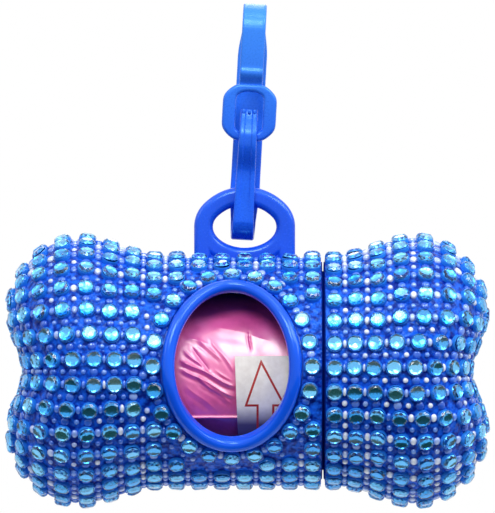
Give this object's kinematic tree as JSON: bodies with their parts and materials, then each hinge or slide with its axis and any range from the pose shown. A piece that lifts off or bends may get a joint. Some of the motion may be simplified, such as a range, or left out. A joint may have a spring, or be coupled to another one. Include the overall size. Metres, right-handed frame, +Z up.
{
  "type": "dog waste bag dispenser",
  "caption": "Bone-shaped bag dispenser covered in faceted blue stones, with an oval window, a screw-on end cap, a bag roll inside and a moulded hanging strap.",
  "frame": {"origin": "middle of the strap's leash loop, on the axis of its round bend", "axes": "+X along the bone towards the end cap, +Z up, -Y out of the window"},
  "size_m": [0.0842, 0.043, 0.0879],
  "materials": {
    "strap_plastic": "smooth flexible moulded plastic, royal blue",
    "shell_plastic": "smooth moulded plastic, royal blue",
    "bezel_plastic": "polished moulded plastic, royal blue",
    "net_plastic": "translucent plastic mesh, deep violet blue",
    "stone_acrylic": "faceted foil-backed plastic stone, aqua blue",
    "bag_film": "thin wrinkled film, pink",
    "core_board": "plain pressed board",
    "label_paper": "uncoated paper"
  },
  "bodies": {
    "strap": {"hanging_strap": "strap_plastic"},
    "main_body": {"main_shell": "shell_plastic", "window_bezel": "bezel_plastic", "main_net": "net_plastic", "main_front_stones": "stone_acrylic", "main_top_stones": "stone_acrylic", "main_back_stones": "stone_acrylic", "main_bottom_stones": "stone_acrylic", "main_end_stones": "stone_acrylic"},
    "cap": {"end_cap": "shell_plastic", "cap_net": "net_plastic", "cap_front_stones": "stone_acrylic", "cap_top_stones": "stone_acrylic", "cap_back_stones": "stone_acrylic", "cap_bottom_stones": "stone_acrylic", "cap_end_stones": "stone_acrylic"},
    "roll": {"bag_roll": "bag_film", "roll_core": "core_board", "roll_label": "label_paper"}
  },
  "joints": [
    {"name": "body_swing", "type": "hinge", "parent": "strap", "child": "main_body", "pos_m": [-0.0016, 0, -0.02865], "axis": [1, 0, 0], "range_deg": [-110, 110]},
    {"name": "cap_pull", "type": "slide", "parent": "main_body", "child": "cap", "axis": [1, 0, 0], "range_m": [0, 0.024]},
    {"name": "roll_spin", "type": "hinge", "parent": "main_body", "child": "roll", "pos_m": [-0.0011, 0, -0.0599], "axis": [1, 0, 0], "continuous": true}
  ]
}
